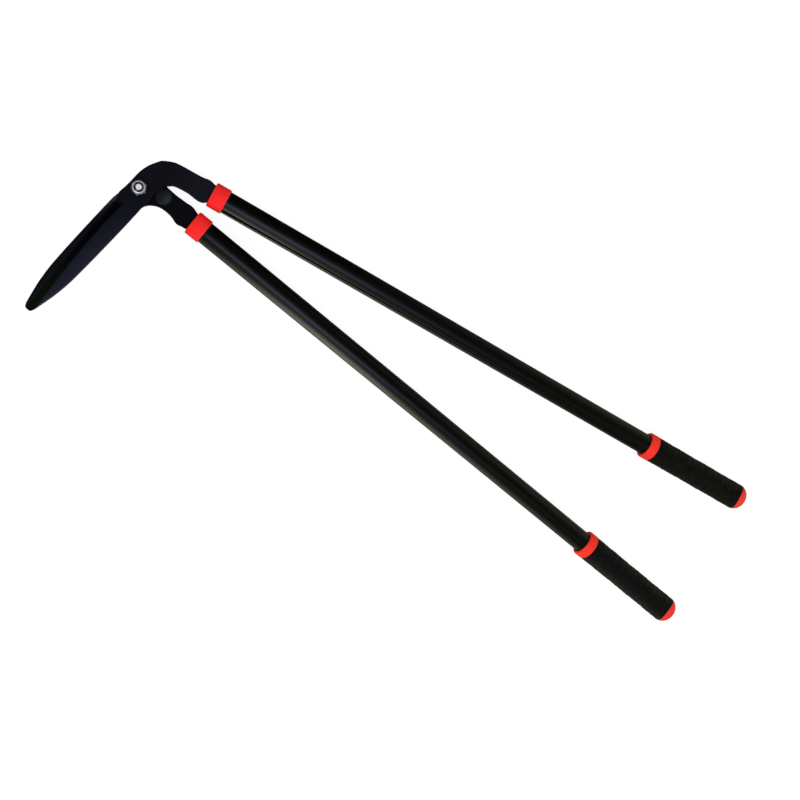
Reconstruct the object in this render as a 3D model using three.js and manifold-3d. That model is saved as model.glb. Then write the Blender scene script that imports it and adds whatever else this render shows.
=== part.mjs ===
// Long handled edging shears, closed. Millimetres, +Z up.
// The origin is the middle of the pivot bolt head's flat bottom face. The blades point along -Y,
// and +X runs midway between the two handles, from the pivot towards the grips.
import * as THREE from 'three';
import { mergeVertices } from 'three/addons/utils/BufferGeometryUtils.js';
import Module from 'manifold-3d';

const wasm = await Module();
wasm.setup();
const degrees = Math.PI / 180;

// Clearances and cutting
const fitGap = 0.3; // between pieces that fit in one another or turn on one another
const overrun = 3; // how far a cutting solid passes the face that it cuts
const roundSides = 40; // flats on a turned piece
const smallSides = 20; // flats on a pin or a rivet
const outlineSteps = 2; // straight steps from one point of an outline to the next
const roundSteps = 2; // straight steps in a rounded corner
const domeSteps = 6;
const weldShare = 1e-6; // of the blade's length: nearer points are one point

// Plates: a lever's blade, boss, arm and tang are one forged plate
const plateThickness = 5;
const plateChamfer = 0.7;
const bladeLength = 193.5; // pivot to tip
const bladeSpine = 16.5; // a blade's back, from its middle line
const bladeEdge = 13.1; // the heel of its cutting edge, from its middle line
const bladeLean = 8.45 * degrees; // the closed blades lean this far from -Y towards -X
const bladeShift = 1.7; // their middle line passes this far beside the pivot, towards +X
const bossRadius = 12.7; // round the pivot
const bossLean = 7.9 * degrees; // the line that the boss and the heel are drawn along
const bevelWidth = 10.8; // ground width beside the cutting edge
const bevelHeel = 24.5; // pivot to the start of the bevel
const bevelRunout = 2.5; // length in which the grinding reaches its full depth
const bevelHollow = 0.6; // how far the ground face dips below a straight slope
const hollowSteps = 5;
const bevelStations = 24; // straight steps along the bevel
const edgeThickness = 0.8; // steel left at the cutting edge
const edgeLand = 0.6; // its flat width
const armWidth = 28.2; // at the shoulder in front of the collar
const neckWidth = 23; // where the plate enters the collar
const tangWidth = 18; // inside the tube
const tangLength = 48; // from the collar's front face
const tangCorner = 3;

// Handles
const handleAngle = 5.1 * degrees; // each handle, from +X
const upperOffset = 37.6; // pivot to the line of the upper handle
const upperReach = 76.7; // along that line, from the pivot to the collar's front face
const lowerOffset = 10;
const lowerReach = 71.9;

// Pivot
const boltDiameter = 10;
const boltHeadAcross = 17; // across the flats
const boltHeadHeight = 6.4;
const boltProud = 1.7; // bolt end above the nut
const boltChamfer = 1;
const washerDiameter = 21;
const washerThickness = 2;
const nutAcross = 17;
const nutTurn = 24.4 * degrees; // its hexagon, from flats that face along X
const nutHexHeight = 6.6;
const nutCrownHeight = 3.4;
const nutCrownWall = 1.1;
const nutCrownRound = 1;
const nutLipHeight = 0.6; // steel rolled over the locking ring
const nutLipReach = 0.7;
const lockRingWidth = 1.3;
const lockRingHeight = 2;
const hexCornerDrop = 0.9; // height of the turned corners on a hex

// Stop buffer
const bufferRadius = 10;
const bufferHeight = 5.6;
const bufferCrown = 2.2; // the domed part of that height
const bufferReach = 30.3; // from the pivot
const bufferAngle = 16.5 * degrees; // from +X
const rivetRadius = 2.5;
const rivetHeadRadius = 4.5;
const rivetHeadHeight = 1.4;
const rivetGrip = 3; // into the buffer

// Tube and what is on it
const tubeDiameter = 28;
const tubeWall = 1.25;
const collarWall = 1.5;
const collarLength = 19.4;
const collarFront = 3; // thickness of the collar's front wall
const collarRound = 1.2;
const tubeShown = 644.3; // between the collar and the grip's ring
const ringLength = 12.6;
const ringProud = 0.25; // beyond the grip's surface
const ringRound = 1.8;
const gripWall = 3.7;
const gripLength = 144;
const gripRound = 0.8;
const capLength = 17;
const capStraight = 2.5; // the part of that length before the dome
const stemLength = 30;
const stemChamfer = 1.5;
const insertEnd = 5; // the tang's insert, beyond the tang
const pinRadius = 2.5;
const pinPlace = 11; // from the collar's front face
const pinRecess = 0.3; // pin ends below the tube's surface

// Heights of the faces that lie on one another
const lowerBase = boltHeadHeight + washerThickness;
const lowerTop = lowerBase + plateThickness;
const upperBase = lowerTop + fitGap;
const upperTop = upperBase + plateThickness;
const nutBase = upperTop + fitGap;
const nutTop = nutBase + nutHexHeight + nutCrownHeight;
const lockRingBase = nutTop - nutLipHeight - fitGap - lockRingHeight;

// Radii
const boltRadius = boltDiameter / 2;
const boltHole = boltRadius + fitGap;
const lockRingRadius = boltHole + lockRingWidth;
const tubeRadius = tubeDiameter / 2;
const tubeBore = tubeRadius - tubeWall;
const sleeveBore = tubeRadius + fitGap; // of each piece that slides on the tube
const collarRadius = sleeveBore + collarWall;
const gripRadius = sleeveBore + gripWall;
const ringRadius = gripRadius + ringProud;
const stemRadius = tubeBore - fitGap; // of each piece that slides in the tube
const pinHole = pinRadius + fitGap;
const rivetHole = rivetRadius + fitGap;

// Places along a handle, from the collar's front face
const tubeStart = collarFront + fitGap;
const ringStart = collarLength + tubeShown;
const gripStart = ringStart + ringLength + fitGap;
const gripEnd = gripStart + gripLength;
const capStart = gripEnd + fitGap;

// Finishes
function finish(color, roughness, metalness) {
  return new THREE.MeshStandardMaterial({ color, roughness, metalness });
}
const blackenedSteel = finish(0x16181f, 0.4, 0.6);
const blackPaint = finish(0x0b0c0e, 0.2, 0);
const redPlastic = finish(0xe3201c, 0.35, 0);
const gripRubber = finish(0x1c1c1a, 0.85, 0);
const bufferRubber = finish(0x202226, 0.6, 0);
const zincSteel = finish(0xb9bdc2, 0.3, 1);
const greyNylon = finish(0x2c2f33, 0.5, 0);
const paleNylon = finish(0xc9c6bb, 0.55, 0);

// Joining and cutting of closed geometries. Triangles that shrink to a line on a turned solid's
// axis are left out.
function toSolid(geometry) {
  const bare = geometry.clone();
  bare.deleteAttribute('normal');
  bare.deleteAttribute('uv');
  const merged = mergeVertices(bare, bladeLength * weldShare);
  const corners = merged.index.array;
  const triVerts = [];
  for (let at = 0; at < corners.length; at += 3) {
    const triangle = [...corners.slice(at, at + 3)];
    if (new Set(triangle).size === 3) triVerts.push(...triangle);
  }
  const vertProperties = new Float32Array(merged.attributes.position.array);
  const mesh = new wasm.Mesh({ numProp: 3, vertProperties, triVerts: new Uint32Array(triVerts) });
  return new wasm.Manifold(mesh);
}

function toGeometry(solid) {
  const mesh = solid.getMesh();
  const geometry = new THREE.BufferGeometry();
  geometry.setAttribute('position', new THREE.BufferAttribute(mesh.vertProperties, 3));
  geometry.setIndex(new THREE.BufferAttribute(mesh.triVerts, 1));
  return geometry;
}

function cut(geometry, ...tools) {
  let solid = toSolid(geometry);
  for (const tool of tools) solid = solid.subtract(toSolid(tool));
  return toGeometry(solid);
}

// A turned solid about +Z, from [radius, height] points
function turned(points, sides = roundSides) {
  const profile = points.map(([radius, height]) => new THREE.Vector2(radius, height));
  return new THREE.LatheGeometry(profile, sides).rotateX(Math.PI / 2);
}

// The same along a handle, where the heights run along +X
function alongHandle(points, sides = roundSides) {
  return turned(points, sides).rotateY(Math.PI / 2);
}

function rod(radius, from, to, sides = roundSides) {
  return turned([[0, from], [radius, from], [radius, to], [0, to]], sides);
}

// Points of a quarter ellipse from the axis side of an end face out to the side wall
function roundedStart(radius, place, across, along, steps) {
  return Array.from({ length: steps + 1 }, (_, step) => {
    const turn = (step / steps) * (Math.PI / 2);
    return [radius - across * (1 - Math.sin(turn)), place + along * (1 - Math.cos(turn))];
  });
}

function roundedEnd(radius, place, across, along, steps) {
  const mirrored = roundedStart(radius, -place, across, along, steps);
  return mirrored.map(([distance, height]) => [distance, -height]).reverse();
}

// A sleeve along a handle with both outer corners rounded
function sleeve(bore, radius, from, to, round) {
  return alongHandle([
    [bore, from],
    ...roundedStart(radius, from, round, round, roundSteps),
    ...roundedEnd(radius, to, round, round, roundSteps),
    [bore, to],
    [bore, from],
  ]);
}

// A hex prism standing on z = 0 with its top corners turned off
function hexPrism(across, height) {
  const cornerRadius = across / Math.sqrt(3);
  const prism = new THREE.CylinderGeometry(cornerRadius, cornerRadius, height, 6);
  prism.rotateX(Math.PI / 2).translate(0, 0, height / 2);
  const corners = turned([
    [0, -overrun],
    [cornerRadius + overrun, -overrun],
    [cornerRadius + overrun, height - hexCornerDrop],
    [cornerRadius, height - hexCornerDrop],
    [across / 2, height],
    [0, height],
  ]);
  return toSolid(prism).intersect(toSolid(corners));
}

// Outlines of the plates. A blade is drawn along its middle line from beside the pivot, and across
// that line towards its cutting edge. Heel and boss are drawn in the same way from the pivot itself.
// An arm is drawn along its handle's line from the collar's front face, and across it towards +Y.
function leaningPoint(lever, lean, along, across) {
  return new THREE.Vector2(
    -along * Math.sin(lean) - lever.edgeSide * across * Math.cos(lean),
    -along * Math.cos(lean) + lever.edgeSide * across * Math.sin(lean),
  );
}

function bladePoint(lever, along, across) {
  return leaningPoint(lever, bladeLean, along, across).add(new THREE.Vector2(bladeShift, 0));
}

function bossPoint(lever, along, across) {
  return leaningPoint(lever, bossLean, along * bossRadius, across * bossRadius);
}

function armPoint(lever, along, across) {
  const point = new THREE.Vector2(lever.reach + along, lever.offset + across);
  return point.rotateAround(new THREE.Vector2(), lever.turn);
}

// Along the blade in shares of bladeLength, across it in shares of bladeSpine or bladeEdge
const spineShares = [
  [0.155, 0.991],
  [0.258, 0.996],
  [0.398, 0.983],
  [0.517, 0.965],
  [0.636, 0.93],
  [0.7235, 0.881],
  [0.8215, 0.745],
  [0.8785, 0.62],
  [0.933, 0.485],
  [0.952, 0.435],
  [0.9715, 0.383],
];
const tipShares = [
  [0.9935, 0.262],
  [0.9997, 0.135],
  [1, 0],
  [0.9988, -0.133],
  [0.9868, -0.23],
];
const edgeShares = [
  [0.128, 0.98],
  [0.31, 1.015],
  [0.52, 0.889],
  [0.73, 0.663],
  [0.935, 0.345],
];

// Arms, from the collar back to the boss: along in shares of the reach, across in shares of half
// the arm's width. Heel and boss, round the pivot: both in shares of bossRadius.
const upper = {
  edgeSide: 1, // the cutting edge is on the left
  turn: handleAngle,
  offset: upperOffset,
  reach: upperReach,
  longer: 0, // its tube, beyond tubeShown
  base: upperBase,
  heelShares: [
    [1.4, -1.385],
    [0.8, -1.39],
    [0.24, -1.4],
    [-0.61, -1.35],
    [-1.21, -1.455],
    [-1.7, -1.58],
    [-1.99, -1.83],
  ],
  innerShares: [
    [-0.05, -1.02],
    [-0.1, -1.095],
    [-0.151, -1.1],
    [-0.203, -1.065],
    [-0.274, -0.995],
    [-0.35, -0.965],
    [-0.44, -0.975],
    [-0.52, -1.01],
    [-0.58, -1.095],
  ],
  outerShares: [
    [-0.038, 0.86],
    [-0.095, 0.945],
    [-0.146, 0.96],
    [-0.199, 0.9],
    [-0.272, 0.86],
    [-0.413, 0.842],
    [-0.545, 0.832],
    [-0.655, 0.8],
    [-0.716, 0.755],
    [-0.775, 0.65],
    [-0.837, 0.505],
    [-0.9, 0.33],
  ],
  bossShares: [
    [-3.06, 0.34],
    [-2.65, 0.55],
    [-2.23, 0.725],
    [-1.81, 0.845],
    [-1.4, 0.925],
    [-0.8, 0.97],
    [0.14, 0.97],
    [0.76, 1.01],
    [1.2, 1.06],
    [1.5, 1.07],
    [1.6, 1],
    [1.75, 0.955],
  ],
};
const lower = {
  edgeSide: -1,
  turn: -handleAngle,
  offset: lowerOffset,
  reach: lowerReach,
  longer: 1.6,
  base: lowerBase,
  heelShares: [
    [1.72, 1.13],
    [1.47, 1.2],
    [1.15, 1.36],
  ],
  innerShares: [
    [-0.05, -0.88],
    [-0.093, -0.91],
    [-0.153, -1],
    [-0.217, -0.97],
    [-0.273, -0.865],
    [-0.354, -0.78],
    [-0.432, -0.76],
    [-0.51, -0.785],
    [-0.588, -0.885],
    [-0.647, -1.045],
    [-0.706, -1.27],
    [-0.748, -1.56],
  ],
  outerShares: [
    [-0.03, 0.86],
    [-0.068, 0.915],
    [-0.124, 0.995],
    [-0.186, 1.01],
    [-0.256, 0.953],
    [-0.335, 0.93],
    [-0.467, 0.893],
    [-0.568, 0.91],
    [-0.665, 0.935],
  ],
  bossShares: [
    [-1.89, 1],
    [-1.74, 0.235],
    [-1.41, -0.43],
    [-0.84, -0.81],
    [-0.3, -0.905],
    [0.15, -0.91],
    [0.7, -0.95],
    [1.2, -1.01],
    [1.55, -1.08],
    [1.95, -1.14],
  ],
};

function tangPoints(lever) {
  const neck = neckWidth / 2;
  const side = tangWidth / 2;
  const corner = side - tangCorner;
  return [
    [0, -neck],
    [collarFront, -neck],
    [collarFront, -side],
    [tangLength - tangCorner, -side],
    [tangLength, -corner],
    [tangLength, corner],
    [tangLength - tangCorner, side],
    [collarFront, side],
    [collarFront, neck],
    [0, neck],
  ].map(([along, across]) => armPoint(lever, along, across));
}

// The outline runs down the blade's left side, round its tip, up its right side, out along the
// arm's near side, round the tang and back
function plateOutline(lever) {
  const onBlade = (shares, size) =>
    shares.map(([along, across]) => bladePoint(lever, along * bladeLength, across * size));
  const onBoss = (shares) =>
    shares.map(([along, across]) => bossPoint(lever, along, across));
  const onArm = (shares) =>
    shares.map(([along, across]) => armPoint(lever, along * lever.reach, (across * armWidth) / 2));
  const edge = onBlade(edgeShares, bladeEdge);
  const spine = onBlade(spineShares, -bladeSpine);
  const tip = onBlade(tipShares, -bladeSpine);
  const blade = [...spine, ...tip, ...edge.reverse()];
  if (lever.edgeSide > 0) blade.reverse();
  const heel = onBoss(lever.heelShares);
  const arm = onArm(lever.innerShares).reverse();
  const tang = tangPoints(lever);
  const nearSide = [...blade, ...heel, ...arm, tang[0]];
  const shape = new THREE.Shape();
  shape.moveTo(nearSide[0].x, nearSide[0].y);
  shape.splineThru(nearSide.slice(1));
  for (const point of tang.slice(1)) shape.lineTo(point.x, point.y);
  shape.splineThru([...onArm(lever.outerShares), ...onBoss(lever.bossShares), nearSide[0]]);
  return shape;
}

// The face that lies on the other lever, and the one away from it
function innerAndOuterFace(lever) {
  const top = lever.base + plateThickness;
  return lever.edgeSide > 0 ? [lever.base, top] : [top, lever.base];
}

// What the grinding takes from a plate: rings across the cutting edge, from the bevel's heel to
// beyond the tip, each with its depth measured from the plate's outer face
function bevelCutter(lever) {
  const points = edgeShares.map(
    ([along, across]) => new THREE.Vector2(along * bladeLength, across * bladeEdge),
  );
  points.push(points.at(-1).clone().multiplyScalar(2).sub(points.at(-2)));
  const edgeLine = new THREE.SplineCurve(points).getPoints(bevelStations);
  const edgeAt = (along) => {
    const next = Math.max(1, edgeLine.findIndex((point) => point.x >= along));
    const [from, to] = [edgeLine[next - 1], edgeLine[next]];
    return from.y + ((along - from.x) / (to.x - from.x)) * (to.y - from.y);
  };
  const full = bevelHeel + bevelRunout;
  const stations = [
    ...roundedStart(1, bevelHeel, 1, bevelRunout, roundSteps),
    ...edgeLine.filter((point) => point.x > full).map((point) => [1, point.x]),
  ];
  const ringAt = (along, depth) => {
    const edge = edgeAt(along);
    const ridge = edge - bevelWidth;
    const slope = bevelWidth - edgeLand;
    const floor = plateThickness - edgeThickness;
    const ring = [[edge + overrun, -overrun], [edge + overrun, depth * floor]];
    for (let step = 0; step <= hollowSteps; step += 1) {
      const share = 1 - step / hollowSteps;
      const dip = 4 * share * (1 - share) * bevelHollow;
      ring.push([ridge + share * slope, depth * (share * floor + dip)]);
    }
    ring.push([ridge, -overrun]);
    return ring;
  };
  const outer = innerAndOuterFace(lever)[1];
  const rings = stations.map(([depth, along]) => ringAt(along, depth).map(([across, into]) => {
    const place = bladePoint(lever, along, across);
    return new THREE.Vector3(place.x, place.y, outer - lever.edgeSide * into);
  }));
  const contour = ringAt(full, 1).map(([across, into]) => new THREE.Vector2(across, into));
  return loft(rings, contour);
}

// A closed solid through rings of equally many points. The contour is one ring drawn flat, turning
// left all the way round, and says how the two ends are filled.
function loft(rings, contour) {
  const count = contour.length;
  const end = (rings.length - 1) * count;
  const corners = [];
  for (let start = 0; start < end; start += count) {
    for (let point = 0; point < count; point += 1) {
      const [a, b] = [start + point, start + ((point + 1) % count)];
      corners.push([a, b, a + count], [b, b + count, a + count]);
    }
  }
  for (const [a, b, c] of THREE.ShapeUtils.triangulateShape(contour, [])) {
    corners.push([a, c, b], [a + end, b + end, c + end]);
  }
  const points = rings.flat();
  const wedge = ([a, b, c]) => points[a].dot(points[b].clone().cross(points[c]));
  const volume = corners.reduce((sum, face) => sum + wedge(face), 0);
  const faces = volume > 0 ? corners : corners.map(([a, b, c]) => [a, c, b]);
  return new THREE.BufferGeometry().setFromPoints(points).setIndex(faces.flat());
}

// A plate has its outer edges chamfered, on the face away from the other lever
function plate(lever, ...tools) {
  const outline = plateOutline(lever).extractPoints(outlineSteps).shape.slice(1);
  const inset = outline.map((point, at) => {
    const along = outline[(at + 1) % outline.length].clone().sub(outline.at(at - 1)).normalize();
    return new THREE.Vector2(point.x - along.y * plateChamfer, point.y + along.x * plateChamfer);
  });
  const [inner, outer] = innerAndOuterFace(lever);
  const raise = (points, height) => points.map((point) => new THREE.Vector3(point.x, point.y, height));
  const chamferStart = outer - lever.edgeSide * plateChamfer;
  const drawn = loft([raise(outline, inner), raise(outline, chamferStart), raise(inset, outer)], outline);
  const boltTool = rod(boltHole, lever.base - overrun, lever.base + plateThickness + overrun);
  return cut(drawn, bevelCutter(lever), boltTool, pinHoleInPlate(lever), ...tools);
}

// The stop buffer's place on the lower plate
const bufferX = bufferReach * Math.cos(bufferAngle);
const bufferY = bufferReach * Math.sin(bufferAngle);

function upperBlade() {
  const clearance = rod(bufferRadius + fitGap, lowerTop, upperTop + overrun);
  return plate(upper, clearance.translate(bufferX, bufferY, 0));
}

function lowerBlade() {
  const hole = rod(rivetHole, lowerBase - overrun, lowerTop + overrun, smallSides);
  return plate(lower, hole.translate(bufferX, bufferY, 0));
}

function pivotBolt() {
  const head = toGeometry(hexPrism(boltHeadAcross, boltHeadHeight));
  head.rotateX(Math.PI).translate(0, 0, boltHeadHeight);
  const end = nutTop + boltProud;
  const shank = turned([
    [0, boltHeadHeight / 2],
    [boltRadius, boltHeadHeight / 2],
    [boltRadius, end - boltChamfer],
    [boltRadius - boltChamfer, end],
    [0, end],
  ]);
  return toGeometry(toSolid(head).add(toSolid(shank)));
}

function pivotNut() {
  const crownRadius = lockRingRadius + fitGap + nutCrownWall;
  const lipRadius = lockRingRadius - nutLipReach;
  const hexTop = nutBase + nutHexHeight;
  const hex = toGeometry(hexPrism(nutAcross, nutHexHeight)).rotateZ(nutTurn);
  hex.translate(0, 0, nutBase);
  const crown = turned([
    [0, hexTop - nutHexHeight / 2],
    [crownRadius, hexTop - nutHexHeight / 2],
    ...roundedEnd(crownRadius, nutTop, nutCrownRound, nutCrownRound, roundSteps),
    [0, nutTop],
  ]);
  const bore = turned([
    [0, nutBase - overrun],
    [boltHole, nutBase - overrun],
    [boltHole, lockRingBase],
    [lockRingRadius + fitGap, lockRingBase],
    [lockRingRadius + fitGap, nutTop - nutLipHeight],
    [lipRadius, nutTop - nutLipHeight],
    [lipRadius, nutTop + overrun],
    [0, nutTop + overrun],
  ]);
  return toGeometry(toSolid(hex).add(toSolid(crown)).subtract(toSolid(bore)));
}

function ringAboutPivot(radius, from, to) {
  return turned([
    [boltHole, from],
    [radius, from],
    [radius, to],
    [boltHole, to],
    [boltHole, from],
  ]);
}

function pivotWasher() {
  return ringAboutPivot(washerDiameter / 2, boltHeadHeight, lowerBase);
}

function lockRing() {
  return ringAboutPivot(lockRingRadius, lockRingBase, lockRingBase + lockRingHeight);
}

function stopBuffer() {
  const top = lowerTop + bufferHeight;
  const pad = turned([
    [0, lowerTop + rivetGrip + fitGap],
    [rivetHole, lowerTop + rivetGrip + fitGap],
    [rivetHole, lowerTop],
    [bufferRadius, lowerTop],
    ...roundedEnd(bufferRadius, top, bufferRadius, bufferCrown, domeSteps),
  ]);
  return pad.translate(bufferX, bufferY, 0);
}

function bufferRivet() {
  const rivet = turned([
    [0, lowerBase - rivetHeadHeight],
    [rivetHeadRadius, lowerBase - rivetHeadHeight],
    [rivetHeadRadius, lowerBase],
    [rivetRadius, lowerBase],
    [rivetRadius, lowerTop + rivetGrip],
    [0, lowerTop + rivetGrip],
  ], smallSides);
  return rivet.translate(bufferX, bufferY, 0);
}

// A box along a handle for what clears a flat plate of this width
function slotTool(width, from, to) {
  const slot = new THREE.BoxGeometry(to - from, width + 2 * fitGap, plateThickness + 2 * fitGap);
  return slot.translate((from + to) / 2, 0, 0);
}

function collar() {
  const cup = alongHandle([
    [0, 0],
    ...roundedStart(collarRadius, 0, collarRound, collarRound, roundSteps),
    ...roundedEnd(collarRadius, collarLength, collarRound, collarRound / 2, roundSteps),
    [sleeveBore, collarLength],
    [sleeveBore, collarFront],
    [0, collarFront],
  ]);
  return cut(cup, slotTool(neckWidth, -overrun, collarFront + overrun));
}

function pinTool() {
  const half = tubeRadius + overrun;
  return rod(pinHole, -half, half, smallSides).translate(pinPlace, 0, 0);
}

function tube(lever) {
  const end = gripEnd + lever.longer;
  const pipe = alongHandle([
    [tubeBore, tubeStart],
    [tubeRadius, tubeStart],
    [tubeRadius, end],
    [tubeBore, end],
    [tubeBore, tubeStart],
  ]);
  return cut(pipe, pinTool());
}

function tangInsert() {
  const end = tangLength + insertEnd;
  const core = rod(stemRadius, tubeStart, end).rotateY(Math.PI / 2);
  return cut(core, slotTool(tangWidth, tubeStart - overrun, tangLength + fitGap), pinTool());
}

function tangPin() {
  const half = tubeRadius - pinRecess;
  return rod(pinRadius, -half, half, smallSides).translate(pinPlace, 0, 0);
}

function gripRing(lever) {
  const start = ringStart + lever.longer;
  return sleeve(sleeveBore, ringRadius, start, start + ringLength, ringRound);
}

function grip(lever) {
  return sleeve(sleeveBore, gripRadius, gripStart + lever.longer, gripEnd + lever.longer, gripRound);
}

function endCap(lever) {
  const start = capStart + lever.longer;
  const stemStart = start - stemLength;
  return alongHandle([
    [0, stemStart],
    [stemRadius - stemChamfer, stemStart],
    [stemRadius, stemStart + stemChamfer],
    [stemRadius, start],
    [gripRadius, start],
    ...roundedEnd(gripRadius, start + capLength, gripRadius, capLength - capStraight, domeSteps),
  ]);
}

// The tang's cross hole, cut in the plate where the pin of its handle passes
function pinHoleInPlate(lever) {
  const place = armPoint(lever, pinPlace, 0);
  const tool = rod(pinHole, lever.base - overrun, lever.base + plateThickness + overrun, smallSides);
  return tool.translate(place.x, place.y, 0);
}

function node(name, geometry, material) {
  const mesh = new THREE.Mesh(geometry, material);
  mesh.name = name;
  return mesh;
}

// A handle's own axes: +X along its tube from the collar's front face, at the plate's mid height
function handle(name, lever) {
  const group = new THREE.Group();
  const place = armPoint(lever, 0, 0);
  group.position.set(place.x, place.y, lever.base + plateThickness / 2);
  group.rotation.z = lever.turn;
  group.add(
    node(`${name}_collar`, collar(), redPlastic),
    node(`${name}_tube`, tube(lever), blackPaint),
    node(`${name}_tang_insert`, tangInsert(), paleNylon),
    node(`${name}_tang_pin`, tangPin(), zincSteel),
    node(`${name}_grip_ring`, gripRing(lever), redPlastic),
    node(`${name}_grip`, grip(lever), gripRubber),
    node(`${name}_end_cap`, endCap(lever), redPlastic),
  );
  return group;
}

function lowerLever() {
  const group = new THREE.Group();
  group.add(
    node('lower_blade', lowerBlade(), blackenedSteel),
    node('pivot_bolt', pivotBolt(), zincSteel),
    node('pivot_washer', pivotWasher(), zincSteel),
    node('pivot_nut', pivotNut(), zincSteel),
    node('nut_lock_ring', lockRing(), greyNylon),
    node('stop_buffer', stopBuffer(), bufferRubber),
    node('buffer_rivet', bufferRivet(), zincSteel),
    handle('lower', lower),
  );
  return group;
}

function upperLever() {
  const group = new THREE.Group();
  group.add(node('upper_blade', upperBlade(), blackenedSteel), handle('upper', upper));
  return group;
}

const shears = new THREE.Group();
shears.add(lowerLever(), upperLever());
export default shears;
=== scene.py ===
"""Long handled edging shears, closed, lying on a white studio floor and seen from above.

Sizes are millimetres until a mesh is made. The frame is the part's own: the origin is the middle of the
pivot bolt head's flat bottom face, +X runs between the two handles and the blades point along -Y.
"""

from types import SimpleNamespace

import bmesh
import bpy
import numpy as np
from mathutils import Matrix, Vector


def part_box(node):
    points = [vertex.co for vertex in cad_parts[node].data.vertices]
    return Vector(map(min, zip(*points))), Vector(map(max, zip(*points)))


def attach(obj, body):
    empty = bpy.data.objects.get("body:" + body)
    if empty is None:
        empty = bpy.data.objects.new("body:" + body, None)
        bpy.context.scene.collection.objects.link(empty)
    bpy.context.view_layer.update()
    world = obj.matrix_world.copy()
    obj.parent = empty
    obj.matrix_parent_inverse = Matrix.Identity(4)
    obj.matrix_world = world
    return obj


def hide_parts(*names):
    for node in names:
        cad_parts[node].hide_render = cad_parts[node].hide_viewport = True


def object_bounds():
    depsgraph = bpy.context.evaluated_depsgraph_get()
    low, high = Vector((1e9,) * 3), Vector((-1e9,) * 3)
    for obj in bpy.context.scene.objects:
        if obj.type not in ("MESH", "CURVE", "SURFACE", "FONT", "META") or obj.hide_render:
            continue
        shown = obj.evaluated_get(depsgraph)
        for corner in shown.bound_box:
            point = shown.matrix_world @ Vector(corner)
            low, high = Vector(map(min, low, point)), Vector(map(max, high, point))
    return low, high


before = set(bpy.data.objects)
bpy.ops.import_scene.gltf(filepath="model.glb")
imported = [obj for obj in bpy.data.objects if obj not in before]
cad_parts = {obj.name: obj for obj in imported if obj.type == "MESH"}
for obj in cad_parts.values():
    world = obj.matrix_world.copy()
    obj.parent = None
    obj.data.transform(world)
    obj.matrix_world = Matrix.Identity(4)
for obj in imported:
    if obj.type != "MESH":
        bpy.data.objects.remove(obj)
cad_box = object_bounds()

metre = 1000.0
millimetre = 1 / metre


def face_heights(node):
    """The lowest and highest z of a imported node."""
    low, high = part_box(node)
    return low.z * metre, high.z * metre


# Heights of the stack on the pivot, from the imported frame
lower_base, lower_top = face_heights("lower_blade")
upper_base, upper_top = face_heights("upper_blade")
washer_base, washer_top = face_heights("pivot_washer")
nut_base, nut_top = face_heights("pivot_nut")
bolt_base, bolt_top = face_heights("pivot_bolt")
lock_ring_base, lock_ring_top = face_heights("nut_lock_ring")
buffer_base, buffer_top = face_heights("stop_buffer")
rivet_base, rivet_top = face_heights("buffer_rivet")
plate_thickness = lower_top - lower_base

fit_gap = 0.3
round_steps = 128
hex_steps = 144
smooth_angle = np.radians(28.0)
merge_distance = 0.001
small_round = 0.3
tiny = 1e-6

# Plates
plate_round = 1.3
mating_round = 0.35
blade_length = 193.5
blade_spine = 16.5
blade_edge = 13.1
blade_lean = np.radians(8.45)
blade_shift = np.array([1.7, 0])
boss_radius = 12.7
boss_lean = np.radians(7.9)
bevel_width = 10.8
bevel_heel = 24.5
bevel_runout = 4.5
bevel_hollow = 0.6
edge_thickness = 0.8
edge_land = 0.6
arm_width = 28.2
neck_width = 23.0
tang_width = 18.0
tang_length = 48.0
round_shares = np.array([0, 0.12, 0.35, 0.65, 1])
ridge_width = 0.15
least_flat = 1.0
outline_skip = 4
bevel_lines = 10
flat_lines = 12

# Stations down a plate, measured from the blade's tip and from the bevel's heel, and the arm's count
line_steps = 12
tip_stations = np.array([0, 0.1, 0.3, 0.6, 1, 1.6, 2.4, 3.4, 4.6])
body_start = 6.0
body_step = 1.6
body_gap = 0.5
entry_stations = np.linspace(1, 0, 9) ** 1.5
heel_stations = np.array([0.4, 1.2, 2.5, 4, 5.2])
blade_end = 18.0
arm_stations = 91

# Where a plate's finish changes, measured from the pivot or from the bevel's heel
ground_depth = 0.35
heel_start = 1.0
heel_fade = 6.0
mating_start = 8.0
mating_fade = 2.0
side_start = 12.0
side_fade = 15.0
arm_start = 18.0
arm_end = 12.0

# Handles
handle_angle = np.radians(5.1)
tube_radius = 14.0
tube_wall = 1.25
sleeve_bore = tube_radius + fit_gap
stem_radius = tube_radius - tube_wall - fit_gap
collar_radius = sleeve_bore + 1.5
collar_length = 19.4
collar_front = 3.0
collar_front_round = 2.0
collar_back_round = 1.1
collar_seat_round = 0.5
tube_round = 0.4
grip_radius = sleeve_bore + 3.7
ring_radius = grip_radius + 0.25
ring_start = collar_length + 644.3
ring_length = 12.6
ring_front_round = 2.2
ring_back_round = 1.2
grip_start = ring_start + ring_length + fit_gap
grip_length = 144.0
grip_round = 0.8
grip_steps = 150
cap_start = grip_start + grip_length + fit_gap
cap_length = 17.0
cap_straight = 2.5
cap_round = 0.8
dome_start = 0.08
seam_wave = 4.5
seam_fade = 20.0
stem_length = 30.0
stem_round = 1.5
dome_steps = 30
rim_width = 1.3

# Waves on the grips: the level of each, its half turns along the grip, its turns round it, and its phase
grip_waves = [
    [1.0, 6.1, 2, 0],
    [0.7, 14.3, -3, 1.3],
    [0.5, 23.7, 1, 2.1],
    [0.5, 37.9, -2, 0],
    [0.4, 52.3, 3, 0],
]
wave_depth = 0.14
wave_mean = 1.6
wave_start = 0.07
wave_fade_in = 0.1
wave_fade_out = 0.06

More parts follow.
